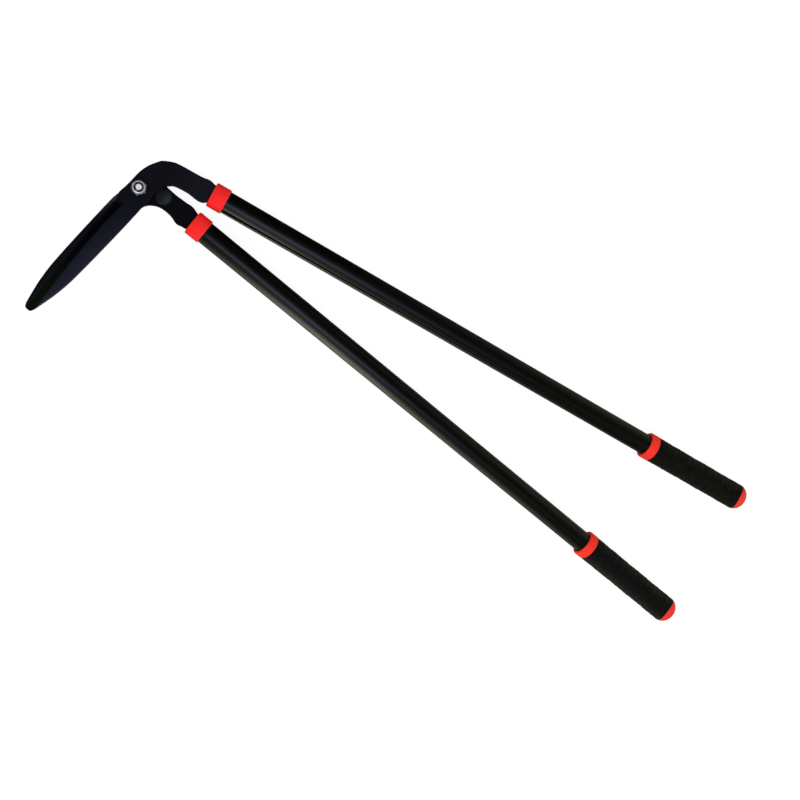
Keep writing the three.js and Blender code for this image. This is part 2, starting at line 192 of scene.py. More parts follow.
# Pivot
bolt_radius = 5.0
bolt_head_top = 6.4
thread_pitch = 1.5
thread_depth = 0.75
thread_start = 13.5
thread_steps = 10
thread_power = 1.2
thread_end = 0.5
shade_zone_end = 0.05
bolt_chamfer = 1.5
bolt_edge_drop = 0.1
bolt_edge_inset = 0.15
hex_across = 17.0
hex_inset = 0.25
hex_cone = np.radians(30)
hex_cut_steps = 7
nut_turn = np.radians(24.4)
nut_hex_height = 6.6
nut_crown_radius = 8.0
nut_crown_drop = 0.35
nut_crown_inset = 0.5
nut_crown_round = 1.1
nut_foot_round = 0.4
nut_lip_radius = 5.9
nut_lip_round = 0.25
washer_radius = 10.5
lock_ring_radius = bolt_radius + fit_gap + 1.3

# Stop buffer
buffer_radius = 10.0
buffer_reach = 30.3
buffer_angle = np.radians(16.5)
buffer_centre = buffer_reach * np.array([np.cos(buffer_angle), np.sin(buffer_angle)])
buffer_shoulder = 1.1
buffer_shoulder_round = 1.6
buffer_crown_drop = 0.35
buffer_crown_share = 0.62
buffer_crown_round = 3.0
rivet_head_radius = 4.5
rivet_shank_radius = 2.5
rivet_steps = 12
# Where the painted highlight on the buffer lies: its turn, its place, its width and its length
highlight_turn = np.radians(8.0)
highlight_place = 4.6
highlight_width = 4.2
highlight_length = 6.5


# Meshes


def add_object(name, data):
    """Links a new object with that data, at the origin."""
    made = bpy.data.objects.new(name, data)
    bpy.context.scene.collection.objects.link(made)
    return made


def add_mesh(name, points, faces, attributes):
    """Makes a closed mesh of points in millimetres. Points that fall together, at a pole or a tip, become
    one, faces are turned outwards, and an edge sharper than the smooth angle stays sharp."""
    mesh = bpy.data.meshes.new(name)
    mesh.from_pydata((points * millimetre).tolist(), [], faces)
    for title, values in (attributes or {}).items():
        mesh.attributes.new(title, "FLOAT", "POINT").data.foreach_set("value", values.ravel())
    working = bmesh.new()
    working.from_mesh(mesh)
    bmesh.ops.remove_doubles(working, verts=working.verts, dist=merge_distance * millimetre)
    bmesh.ops.recalc_face_normals(working, faces=working.faces)
    working.to_mesh(mesh)
    working.free()
    mesh.polygons.foreach_set("use_smooth", [True] * len(mesh.polygons))
    mesh.set_sharp_from_angle(angle=smooth_angle)
    return add_object(name, mesh)


def grid_faces(rows, columns, closed_rows):
    """Quads between neighbouring rows of a grid whose columns run round. The rows run round too, or the
    first and last row are each filled by one face."""
    number = np.arange(rows * columns).reshape(rows, columns)
    nearer = number if closed_rows else number[:-1]
    further = np.roll(number, -1, 0) if closed_rows else number[1:]
    corners = [nearer, np.roll(nearer, -1, 1), np.roll(further, -1, 1), further]
    faces = np.stack(corners, -1).reshape(-1, 4).tolist()
    if not closed_rows:
        faces += [number[0].tolist(), number[-1].tolist()]
    return faces


def add_grid(name, grid, closed_rows=False, attributes=None):
    """A piece from a grid of points, rows by columns by 3."""
    rows, columns = grid.shape[:2]
    return add_mesh(name, grid.reshape(-1, 3), grid_faces(rows, columns, closed_rows), attributes)


def ramp(value, start, length):
    """0 up to the start, and from there up to 1 over the length."""
    return np.clip((value - start) / length, 0, 1)


def circle_angles(count=round_steps):
    return np.linspace(0, 2 * np.pi, count, endpoint=False)


def rounded_line(corners, steps=8):
    """A line through [place, radius, rounding] corners. A corner with a rounding becomes an arc that touches
    both its sides: its ends lie rounding / tan(half the corner's angle) from the corner."""
    line = []
    places = np.array([corner[:2] for corner in corners], float)
    for at, (_, _, rounding) in enumerate(corners):
        here = places[at]
        if not rounding:
            line.append(here[None])
            continue
        sides = np.array([places[at - 1] - here, places[(at + 1) % len(places)] - here])
        sides /= np.linalg.norm(sides, axis=1)[:, None]
        half = np.arccos(np.clip(sides[0] @ sides[1], -1, 1)) / 2
        middle = here + sides.sum(0) / np.linalg.norm(sides.sum(0)) * rounding / np.sin(half)
        ends = here + sides * rounding / np.tan(half) - middle
        turn = np.linspace(0, 1, steps + 1)[:, None]
        opening = np.pi - 2 * half
        arc = (np.sin((1 - turn) * opening) * ends[0] + np.sin(turn * opening) * ends[1]) / np.sin(opening)
        line.append(middle + arc)
    return np.vstack(line)


def turned(line, angles=None, radius_at=None):
    """A line of [height, radius] points carried round +Z: x = r cos a, y = r sin a. The radius may be
    changed by a function of the angle, the height and the radius."""
    angle = circle_angles() if angles is None else angles
    height = np.repeat(line[:, :1], len(angle), 1)
    radius = np.repeat(line[:, 1:2], len(angle), 1)
    if radius_at:
        radius = radius_at(angle[None], height, radius)
    return np.stack([radius * np.cos(angle), radius * np.sin(angle), height], -1)


def hex_radius(angle, turn=0.0):
    """Distance from a hexagon's middle to its side: half the size across the flats, over the cosine of the
    angle from the nearest flat's middle."""
    sixth = np.pi / 3
    return hex_across / 2 / np.cos((angle - turn + sixth / 2) % sixth - sixth / 2)


# Levers

# Outline points. On the blade they are shares of its length and of its width to the spine or the edge, on
# the boss of its radius, and on the arm of the handle's reach and of half the arm's width. A lever's offset
# and reach say where its collar's front lies from the pivot, across and along its handle.
spine_shares = [
    [0.155, 0.991], [0.258, 0.996], [0.398, 0.983], [0.517, 0.965], [0.636, 0.93], [0.7235, 0.881],
    [0.8215, 0.745], [0.8785, 0.62], [0.933, 0.485], [0.952, 0.435], [0.9715, 0.383],
]
tip_shares = [[0.9935, 0.262], [0.9997, 0.135], [1, 0], [0.9988, -0.133], [0.9868, -0.23]]
edge_shares = [[0.128, 0.98], [0.31, 1.015], [0.52, 0.889], [0.73, 0.663], [0.935, 0.345]]

upper = SimpleNamespace(
    name="upper",
    body="upper_lever",
    blade="front_blade",
    edge_side=1,
    turn=handle_angle,
    offset=37.6,
    reach=76.7,
    longer=0.0,
    inner_face=upper_base,
    middle=(upper_base + upper_top) / 2,
    heel_shares=[
        [1.4, -1.385], [0.8, -1.39], [0.24, -1.4], [-0.61, -1.35], [-1.21, -1.455], [-1.7, -1.58],
        [-1.99, -1.83],
    ],
    inner_shares=[
        [-0.05, -1.02], [-0.1, -1.095], [-0.151, -1.1], [-0.203, -1.065], [-0.274, -0.995],
        [-0.35, -0.965], [-0.44, -0.975], [-0.52, -1.01], [-0.58, -1.095],
    ],
    outer_shares=[
        [-0.038, 0.86], [-0.095, 0.945], [-0.146, 0.96], [-0.199, 0.9], [-0.272, 0.86],
        [-0.413, 0.842], [-0.545, 0.832], [-0.655, 0.8], [-0.716, 0.755], [-0.775, 0.65],
        [-0.837, 0.505], [-0.9, 0.33],
    ],
    boss_shares=[
        [-3.06, 0.34], [-2.65, 0.55], [-2.23, 0.725], [-1.81, 0.845], [-1.4, 0.925], [-0.8, 0.97],
        [0.14, 0.97], [0.76, 1.01], [1.2, 1.06], [1.5, 1.07], [1.6, 1], [1.75, 0.955],
    ],
)
lower = SimpleNamespace(
    name="lower",
    body="lower_lever",
    blade="back_blade",
    edge_side=-1,
    turn=-handle_angle,
    offset=10.0,
    reach=71.9,
    longer=1.6,
    inner_face=lower_top,
    middle=(lower_base + lower_top) / 2,
    heel_shares=[[1.72, 1.13], [1.47, 1.2], [1.15, 1.36]],
    inner_shares=[
        [-0.05, -0.88], [-0.093, -0.91], [-0.153, -1], [-0.217, -0.97], [-0.273, -0.865],
        [-0.354, -0.78], [-0.432, -0.76], [-0.51, -0.785], [-0.588, -0.885], [-0.647, -1.045],
        [-0.706, -1.27], [-0.748, -1.56],
    ],
    outer_shares=[
        [-0.03, 0.86], [-0.068, 0.915], [-0.124, 0.995], [-0.186, 1.01], [-0.256, 0.953],
        [-0.335, 0.93], [-0.467, 0.893], [-0.568, 0.91], [-0.665, 0.935],
    ],
    boss_shares=[
        [-1.89, 1], [-1.74, 0.235], [-1.41, -0.43], [-0.84, -0.81], [-0.3, -0.905], [0.15, -0.91],
        [0.7, -0.95], [1.2, -1.01], [1.55, -1.08], [1.95, -1.14],
    ],
)


def leaning_points(lever, lean, along, across):
    """Along a line from the pivot that leans from -Y towards -X, and across it towards the cutting edge."""
    return np.stack(
        [
            -along * np.sin(lean) - lever.edge_side * across * np.cos(lean),
            -along * np.cos(lean) + lever.edge_side * across * np.sin(lean),
        ],
        -1,
    )


def blade_points(lever, along, across):
    """Along the blade's middle line from beside the pivot, and across it towards the cutting edge."""
    return leaning_points(lever, blade_lean, along, across) + blade_shift


def blade_place(lever, points):
    """The inverse: how far along and across the blade the points lie."""
    x, y = points[..., 0] - blade_shift[0], points[..., 1]
    along = -x * np.sin(blade_lean) - y * np.cos(blade_lean)
    across = lever.edge_side * (-x * np.cos(blade_lean) + y * np.sin(blade_lean))
    return along, across


def arm_points(lever, along, across):
    """Along the handle from the collar's front face, and across it towards +Y."""
    x, y = lever.reach + np.asarray(along, float), lever.offset + np.asarray(across, float)
    cosine, sine = np.cos(lever.turn), np.sin(lever.turn)
    return np.stack([x * cosine - y * sine, x * sine + y * cosine], -1)


def on_handle(lever, grid):
    """Moves points drawn about +Z to the handle: their height runs along the handle's line."""
    flat = arm_points(lever, grid[..., 2], grid[..., 1])
    return np.concatenate([flat, grid[..., :1] + lever.middle], -1)


def smooth_line(points):
    """A curve through points: each span is the cubic that leaves and arrives with half the step between the
    points on either side."""
    points = np.asarray(points, float)
    before, after = np.vstack([points[:1], points[:-2]]), np.vstack([points[2:], points[-1:]])
    start, end = points[:-1], points[1:]
    leave, arrive = (end - before) / 2, (after - start) / 2
    share = np.linspace(0, 1, line_steps, endpoint=False)[None, :, None]
    cubic = (2 * start - 2 * end + leave + arrive)[:, None] * share**3
    cubic += (3 * end - 3 * start - 2 * leave - arrive)[:, None] * share**2
    cubic += leave[:, None] * share + start[:, None]
    return np.vstack([cubic.reshape(-1, points.shape[1]), points[-1:]])


def plate_sides(lever):
    """The plate's outline as two lines, both from the blade's tip to the collar: round the outside of the
    bend and round its inside."""

    def on_blade(shares, size):
        return blade_points(lever, *(np.array(shares) * [blade_length, size]).T)

    def on_boss(shares):
        return leaning_points(lever, boss_lean, *(np.array(shares) * boss_radius).T)

    def on_arm(shares):
        return arm_points(lever, *(np.array(shares) * [lever.reach, arm_width / 2]).T)

    spine, tip = on_blade(spine_shares, -blade_spine), on_blade(tip_shares, -blade_spine)
    blade = np.vstack([spine, tip, on_blade(edge_shares, blade_edge)[::-1]])
    tip_at = len(spine) + 2
    if lever.edge_side > 0:
        blade, tip_at = blade[::-1], len(blade) - 1 - tip_at
    neck = arm_points(lever, np.zeros(2), np.array([-1, 1]) * neck_width / 2)
    near = smooth_line(
        np.vstack([blade, on_boss(lever.heel_shares), on_arm(lever.inner_shares)[::-1], neck[:1]])
    )
    far = smooth_line(
        np.vstack([neck[1:], on_arm(lever.outer_shares), on_boss(lever.boss_shares), blade[:1]])
    )
    turning = tip_at * line_steps
    outside = np.vstack([near[: turning + 1][::-1], far[::-1][1:]])
    inside = near[turning:]
    if lever is upper:
        offset = inside - buffer_centre
        distance = np.linalg.norm(offset, axis=1)[:, None]
        inside = buffer_centre + offset / distance * np.maximum(distance, buffer_radius + fit_gap)
    return outside, inside


def stations(lever, side):
    """Points of one side at the plate's stations: down the blade at given lengths from the tip, close
    together at the tip and at the bevel's heel, then at equal shares of the rest of the side."""
    along, _ = blade_place(lever, side)
    body = np.arange(body_start, blade_length - bevel_heel - bevel_runout - body_gap, body_step)
    from_tip = np.concatenate([tip_stations, body])
    from_heel = np.concatenate([bevel_runout * entry_stations, -heel_stations])
    places = np.concatenate([blade_length - from_tip, bevel_heel + from_heel, [blade_end]])
    end = np.argmax(along < blade_end) + 1
    order = np.minimum.accumulate(along[:end])[::-1]
    blade = np.stack([np.interp(places, order, side[:end, axis][::-1]) for axis in (0, 1)], -1)
    rest = np.vstack([blade[-1:], side[end:]])
    run = np.concatenate([[0], np.cumsum(np.linalg.norm(np.diff(rest, axis=0), axis=1))])
    further = np.linspace(0, 1, arm_stations)[1:] * run[-1]
    return np.vstack([blade, np.stack([np.interp(further, run, rest[:, axis]) for axis in (0, 1)], -1)])


def distance_to_line(points, line):
    """The least distance from each point to a line of straight pieces."""
    start, step = line[:-1], np.diff(line, axis=0)
    offset = points[:, None] - start[None]
    length = np.maximum((step**2).sum(1), tiny**2)
    share = np.clip((offset * step).sum(-1) / length, 0, 1)
    return np.linalg.norm(offset - share[..., None] * step, axis=-1).min(1)


def quarter_drop(distance, radius):
    """How far a rounded edge lies below its face at a distance from the outline: a quarter circle."""
    inwards = ramp(distance, 0, radius)
    return radius * (1 - np.sqrt(1 - (1 - inwards) ** 2))


def bevel_depth(lever, points):
    """What the grinding takes: a slope from the ridge to the cutting edge with a hollow of 4 s (1 - s),
    which reaches its full depth along a quarter circle at the heel."""
    along, across = blade_place(lever, points)
    edge = smooth_line(np.array(edge_shares) * [blade_length, blade_edge])
    beyond = edge[-1] + (edge[-1] - edge[-2]) * line_steps
    edge = np.vstack([edge, beyond])
    ridge = np.interp(along, *edge.T) - bevel_width
    share = ramp(across, ridge, bevel_width - edge_land)
    entry = ramp(along, bevel_heel, bevel_runout)
    deepest = plate_thickness - edge_thickness
    return np.sqrt(1 - (1 - entry) ** 2) * (share * deepest + 4 * share * (1 - share) * bevel_hollow)


def there_and_back(values):
    """Values over the outer face, then the same ones back under the inner face."""
    return np.concatenate([values, values[:, ::-1]], 1)


def cross_lines(lever, outside, inside):
    """Points of a plate's face: lines across it between its two sides, from the cutting edge's side to the
    spine's, close together on the rounded edges and the bevel. Also their distance to the outline."""
    tang = np.array([[collar_front, neck_width], [collar_front, tang_width], [tang_length, tang_width]])
    sides = [
        np.vstack([stations(lever, side), arm_points(lever, tang[:, 0], sign * tang[:, 1] / 2)])
        for side, sign in ((outside, 1), (inside, -1))
    ]
    edge_line, spine_line = sides if lever.edge_side > 0 else sides[::-1]
    rounding = plate_round * round_shares
    bevel = np.linspace(plate_round, bevel_width, bevel_lines)[1:]
    from_edge = np.concatenate([rounding, bevel, [bevel_width + ridge_width]])
    width = np.maximum(np.linalg.norm(spine_line - edge_line, axis=1)[:, None], tiny)
    squeeze = np.minimum(1, width / (from_edge[-1] + rounding[-1] + least_flat))
    near, far = from_edge * squeeze / width, 1 - rounding[::-1] * squeeze / width
    between = near[:, -1:] + (far[:, :1] - near[:, -1:]) * np.linspace(0, 1, flat_lines)[1:-1]
    share = np.concatenate([near, between, far], 1)
    flat = edge_line[:, None] + (spine_line - edge_line)[:, None] * share[..., None]

    outline = np.vstack([outside[::-1], inside[1:]])[::outline_skip]
    distance = distance_to_line(flat.reshape(-1, 2), outline).reshape(share.shape)
    distance[:, [0, -1]] = 0
    in_tang = np.arange(len(width)) >= len(width) - len(tang)
    distance[in_tang] = plate_round
    return flat, distance


def add_plate(lever):
    """A lever's plate: cross lines between its two sides, each a closed ring of points over the outer face
    and back under the inner face. Heights follow the rounding at the outline and the ground bevel."""
    flat, distance = cross_lines(lever, *plate_sides(lever))
    along, across = blade_place(lever, flat)
    ground = bevel_depth(lever, flat)
    outer = plate_thickness - np.maximum(quarter_drop(distance, plate_round), ground)
    at_edge = (along > bevel_heel - heel_stations[-2]) & (across > 0)
    inner = np.where(at_edge, 0, quarter_drop(distance, mating_round))
    ring = there_and_back(flat)
    height = np.concatenate([outer, inner[:, ::-1]], 1)
    grid = np.dstack([ring, lever.inner_face + lever.edge_side * height])
    blank = np.zeros_like(outer)
    mating = ramp(along, bevel_heel - mating_start, mating_fade)
    spine = np.interp(along, *(np.array(spine_shares) * [blade_length, blade_spine]).T)
    ridge = blade_edge - bevel_width
    # Towards the spine and away from the pivot, where the finish lays a painted reflection; and the arm,
    # where the back lever's finish lays a painted shadow
    side = ramp(ridge - across, 0, ridge + spine) * ramp(along, side_start, side_fade)
    arm = ramp(flat[..., 0], arm_start, lever.reach - arm_start - arm_end)
    ground_shown = ramp(ground, 0, ground_depth) * ramp(along, bevel_heel + heel_start, heel_fade)
    keen = (1 - ramp(distance, 0, bevel_width)) * (across > ridge)
    attributes = {
        "ground": np.concatenate([ground_shown, blank], 1),
        "keen": np.concatenate([keen, blank], 1),
        "mating": np.concatenate([blank, mating[:, ::-1]], 1),
        "rim": there_and_back(1 - ramp(distance, 0, plate_round)),
        "length": there_and_back(ramp(along, 0, blade_length)),
        "side": there_and_back(side),
        "arm": there_and_back(arm),
    }
    return add_grid(lever.blade, grid, attributes=attributes)


# Handle pieces


def sleeve_line(start, end, bore, radius, front_round, back_round, bore_round=0.5):
    """Round a sleeve's wall: out over its front end, along its outside and back through its bore."""
    return rounded_line(
        [
            [start, bore, bore_round],
            [start, radius, front_round],
            [end, radius, back_round],
            [end, bore, bore_round],
        ]
    )


def add_collar(lever):
    """A cup with a slot in its front wall for the plate. Round the slot the radius is a rectangle's: the
    nearer of half its width over |sin a| and half its height over |cos a|."""
    half_width, half_height = neck_width / 2 + fit_gap, plate_thickness / 2 + fit_gap
    corner = np.arctan2(half_width, half_height)
    corners = [corner, np.pi - corner, np.pi + corner, 2 * np.pi - corner]
    angle = np.sort(np.concatenate([circle_angles(), corners]))
    at_slot = 1.0
    line = rounded_line(
        [
            [0, at_slot, 0],
            [0, collar_radius, collar_front_round],
            [collar_length, collar_radius, collar_back_round],
            [collar_length, sleeve_bore, small_round],
            [collar_front, sleeve_bore, collar_seat_round],
            [collar_front, at_slot, 0],
        ]
    )

    def radius_at(angle, height, radius):
        wide = half_width / np.maximum(abs(np.sin(angle)), tiny)
        high = half_height / np.maximum(abs(np.cos(angle)), tiny)
        return np.where(radius <= at_slot, np.minimum(wide, high), radius)

    grid = turned(line, angle, radius_at)
    rim = {"rim": near_ends(grid, 0, collar_length)}
    return add_grid(f"{lever.name}_ferrule", on_handle(lever, grid), closed_rows=True, attributes=rim)


def near_ends(grid, start, end):
    """1 at both ends of a piece drawn about +Z, 0 further than the rim's width from them."""
    height = grid[..., 2]
    return 1 - ramp(np.minimum(height - start, end - height), 0, rim_width)


def add_tube(lever):
    """A plain pipe from the collar's front wall to the end cap."""
    start, end = collar_front + fit_gap, grip_start + lever.longer + grip_length
    line = sleeve_line(start, end, tube_radius - tube_wall, tube_radius, *[tube_round] * 3)
    return add_grid(f"{lever.name}_painted_tube", on_handle(lever, turned(line)), closed_rows=True)


def add_grip_ring(lever):
    start = ring_start + lever.longer
    end = start + ring_length
    grid = turned(sleeve_line(start, end, sleeve_bore, ring_radius, ring_front_round, ring_back_round))
    rim = {"rim": near_ends(grid, start, end)}
    return add_grid(f"{lever.name}_red_ring", on_handle(lever, grid), closed_rows=True, attributes=rim)


def seam(angle):
    """How far the seam between grip and cap lies along the handle, by the angle from the top: w sin^2 a."""
    return seam_wave * np.sin(angle) ** 2


def add_grip(lever):
    """The rubber sleeve. Its outside is drawn on a fine grid along the handle, and carries shallow uneven
    waves: a sum of sines of the length and the angle, which fade in after the smooth front end. Its back
    end follows the seam."""
    start = grip_start + lever.longer
    end = start + grip_length
    ends = sleeve_line(start, end, sleeve_bore, grip_radius, grip_round, grip_round)
    corner = int(np.argmax(ends[:, 0] > start + grip_round + tiny)) - 1
    along = np.linspace(start + grip_round, end - grip_round, grip_steps)[1:-1]
    outside = np.stack([along, np.full_like(along, grip_radius)], -1)
    line = np.vstack([ends[: corner + 1], outside, ends[corner + 1 :]])

    def radius_at(angle, height, radius):
        share = (height - start) / grip_length
        fade = ramp(share, wave_start, wave_fade_in) * ramp(1 - share, 0, wave_fade_out)
        waves = sum(
            level * np.sin(pace * np.pi * share + turns * angle + phase)
            for level, pace, turns, phase in grip_waves
        )
        outer = radius > grip_radius - grip_round / 2
        return radius + np.where(outer, wave_depth * fade * (waves - wave_mean), 0)

    grid = turned(line, radius_at=radius_at)
    grid[..., 2] += seam(circle_angles()) * ramp(grid[..., 2], end - seam_fade, seam_fade)
    return add_grid(f"{lever.name}_rubber_grip", on_handle(lever, grid), closed_rows=True)


def add_end_cap(lever):
    """A stem with a flange that grows into a dome: a quarter ellipse from the wall to the axis. The flange
    starts at the seam, and its edge there is rounded."""
    stem = rounded_line(
        [[-stem_length, tiny, 0], [-stem_length, stem_radius, stem_round], [0, stem_radius, 0]]
    )
    edge = cap_round / cap_length * round_shares
    share = np.concatenate([edge, np.sin(np.linspace(dome_start, np.pi / 2, dome_steps))])[:, None]
    angle = circle_angles()
    front = seam(angle)[None]
    height = front + (cap_length - front) * share
    domed = ramp(height, cap_straight, cap_length - cap_straight)
    radius = grip_radius * np.sqrt(1 - domed**2) - quarter_drop(height - front, cap_round)
    height, radius = np.vstack([front, height]), np.vstack([np.full_like(front, stem_radius), radius])
    dome = np.stack([radius * np.cos(angle), radius * np.sin(angle), height], -1)
    grid = np.concatenate([turned(stem), dome])
    blank = np.zeros((len(stem), len(angle)))
    rim = np.concatenate([blank, 1 - ramp(height, front, rim_width)])
    grid[..., 2] += cap_start + lever.longer
    return add_grid(f"{lever.name}_domed_cap", on_handle(lever, grid), attributes={"rim": rim})


# Pivot pieces


def about_buffer(grid):
    """Moves points drawn about +Z to the buffer's middle."""
    return grid + np.array([*buffer_centre, 0])


def hex_angles(turn=0.0):
    """Angles that include the corners of a hexagon with that turn."""
    return circle_angles(hex_steps) + turn


def chamfered_hex(low, high, both=False):
    """Heights and largest radii of a hex whose corners are turned off by a flat cone, at its top or at both
    ends."""
    corner = hex_across / np.sqrt(3)
    flat = hex_across / 2 - hex_inset
    drop = (corner - flat) * np.tan(hex_cone)
    cut = np.linspace(0, 1, hex_cut_steps)
    top = np.stack([high - drop * (1 - cut), corner + (flat - corner) * cut], -1)
    bottom = np.stack([low + drop * cut, flat + (corner - flat) * cut], -1)
    return np.vstack([bottom, top]) if both else np.vstack([[[low, flat]], [[low, corner]], top])


def add_bolt():
    """Head, shank and thread in one turned grid. The thread's radius falls by a rounded triangle wave of the
    height over the pitch less the turn."""
    head = chamfered_hex(bolt_base, bolt_head_top, both=True)
    shank = [[bolt_head_top, bolt_radius], [thread_start, bolt_radius]]
    height = np.arange(thread_start, bolt_top - bolt_chamfer, thread_pitch / thread_steps)
    thread = np.stack([height, np.full_like(height, bolt_radius)], -1)
    face = bolt_radius - bolt_chamfer
    end = [
        [bolt_top - bolt_chamfer, bolt_radius],
        [bolt_top - bolt_edge_drop, face],
        [bolt_top, face - bolt_edge_inset],
        [bolt_top, tiny],
    ]
    line = np.vstack([[[bolt_base, tiny]], head, shank, thread, end])

    def radius_at(angle, height, radius):
        phase = (height / thread_pitch - angle / (2 * np.pi)) % 1
        groove = thread_depth * (1 - abs(2 * phase - 1)) ** thread_power
        threaded = (height > thread_start + tiny) & (height < bolt_top - thread_end)
        inside = np.where(height < bolt_head_top + tiny, hex_radius(angle), radius)
        return np.minimum(radius, inside) - np.where(threaded, groove, 0)

    grid = turned(line, hex_angles(), radius_at)
    # The thread and the end's chamfer, where the finish paints shade
    painted_shade_zone = (grid[..., 2] > thread_start + tiny) & (grid[..., 2] < bolt_top - shade_zone_end)
    return add_grid("bolt_and_thread", grid, attributes={"painted_shade_zone": painted_shade_zone.astype(float)})


def add_nut():
    """Hex with turned corners, then a round crown whose rounded lip stands round the locking ring."""
    hex_top = nut_base + nut_hex_height
    seat = lock_ring_base - fit_gap
    crown = rounded_line(
        [
            [hex_top, nut_crown_radius, nut_foot_round],
            [nut_top - nut_crown_drop, nut_crown_radius - nut_crown_inset, nut_crown_round],
            [nut_top, nut_lip_radius, nut_lip_round],
            [lock_ring_top, nut_lip_radius, 0],
            [lock_ring_top, lock_ring_radius + fit_gap, 0],
            [seat, lock_ring_radius + fit_gap, 0],
            [seat, bolt_radius + fit_gap, 0],
            [nut_base, bolt_radius + fit_gap, nut_foot_round],
            [nut_base, hex_across / 2 - hex_inset, 0],
        ]
    )

    def inside_hex(angle, height, radius):
        return np.minimum(radius, hex_radius(angle, nut_turn))

    line = np.vstack([chamfered_hex(nut_base, hex_top), crown[:-1]])
    grid = turned(line, hex_angles(nut_turn), inside_hex)
    # The hexagon, where the finish paints shade
    painted_shade_zone = (grid[..., 2] < hex_top + tiny).astype(float)
    return add_grid("locking_nut", grid, closed_rows=True, attributes={"painted_shade_zone": painted_shade_zone})


def add_ring(name, low, high, bore, radius):
    """A flat ring with its four edges rounded."""
    corners = [[low, bore], [low, radius], [high, radius], [high, bore]]
    line = rounded_line([[*corner, small_round] for corner in corners], 4)
    return add_grid(name, turned(line), closed_rows=True)


def add_buffer():
    """A rubber pad: a straight foot, a rounded shoulder and a crown that is a shallow dome. A painted
    highlight on it is a bell of the distances across and along it from its middle."""
    line = rounded_line(
        [
            [buffer_base, tiny, 0],
            [buffer_base, buffer_radius, small_round],
            [buffer_top - buffer_shoulder, buffer_radius, buffer_shoulder_round],
            [buffer_top - buffer_crown_drop, buffer_radius * buffer_crown_share, buffer_crown_round],
            [buffer_top, tiny, 0],
        ]
    )
    grid = turned(line)
    x, y = grid[..., 0] - highlight_place, grid[..., 1]
    across = x * np.cos(highlight_turn) + y * np.sin(highlight_turn)
    along = y * np.cos(highlight_turn) - x * np.sin(highlight_turn)
    buffer_highlight = np.exp(-((across / highlight_width) ** 2) - (along / highlight_length) ** 2)
    return add_grid("rubber_buffer", about_buffer(grid), attributes={"buffer_highlight": buffer_highlight})


def add_rivet():
    """A domed head under the lower plate, and its shank up into the pad."""
    turn = np.linspace(0, np.pi / 2, rivet_steps)
    head = lower_base - rivet_base
    radius = np.maximum(rivet_head_radius * np.sin(turn), tiny)
    dome = np.stack([lower_base - head * np.cos(turn), radius], -1)
    shank = np.array([[lower_base, rivet_shank_radius], [rivet_top, rivet_shank_radius], [rivet_top, tiny]])
    return add_grid("rivet_head", about_buffer(turned(np.vstack([dome, shank]))))


# Materials


class Value:
    """A socket that can stand in sums. Each operator adds a Math node to the finish that holds it."""

    def __init__(self, finish, socket):
        self.finish = finish
        self.socket = socket

    def __add__(self, other):
        return self.finish.maths("ADD", self, other)

    def __radd__(self, other):
        return self.finish.maths("ADD", other, self)

    def __sub__(self, other):
        return self.finish.maths("SUBTRACT", self, other)

    def __rsub__(self, other):
        return self.finish.maths("SUBTRACT", other, self)

    def __mul__(self, other):
        return self.finish.maths("MULTIPLY", self, other)

    def __rmul__(self, other):
        return self.finish.maths("MULTIPLY", other, self)

    def __truediv__(self, other):
        return self.finish.maths("DIVIDE", self, other)

    def __pow__(self, other):
        return self.finish.maths("POWER", self, other)


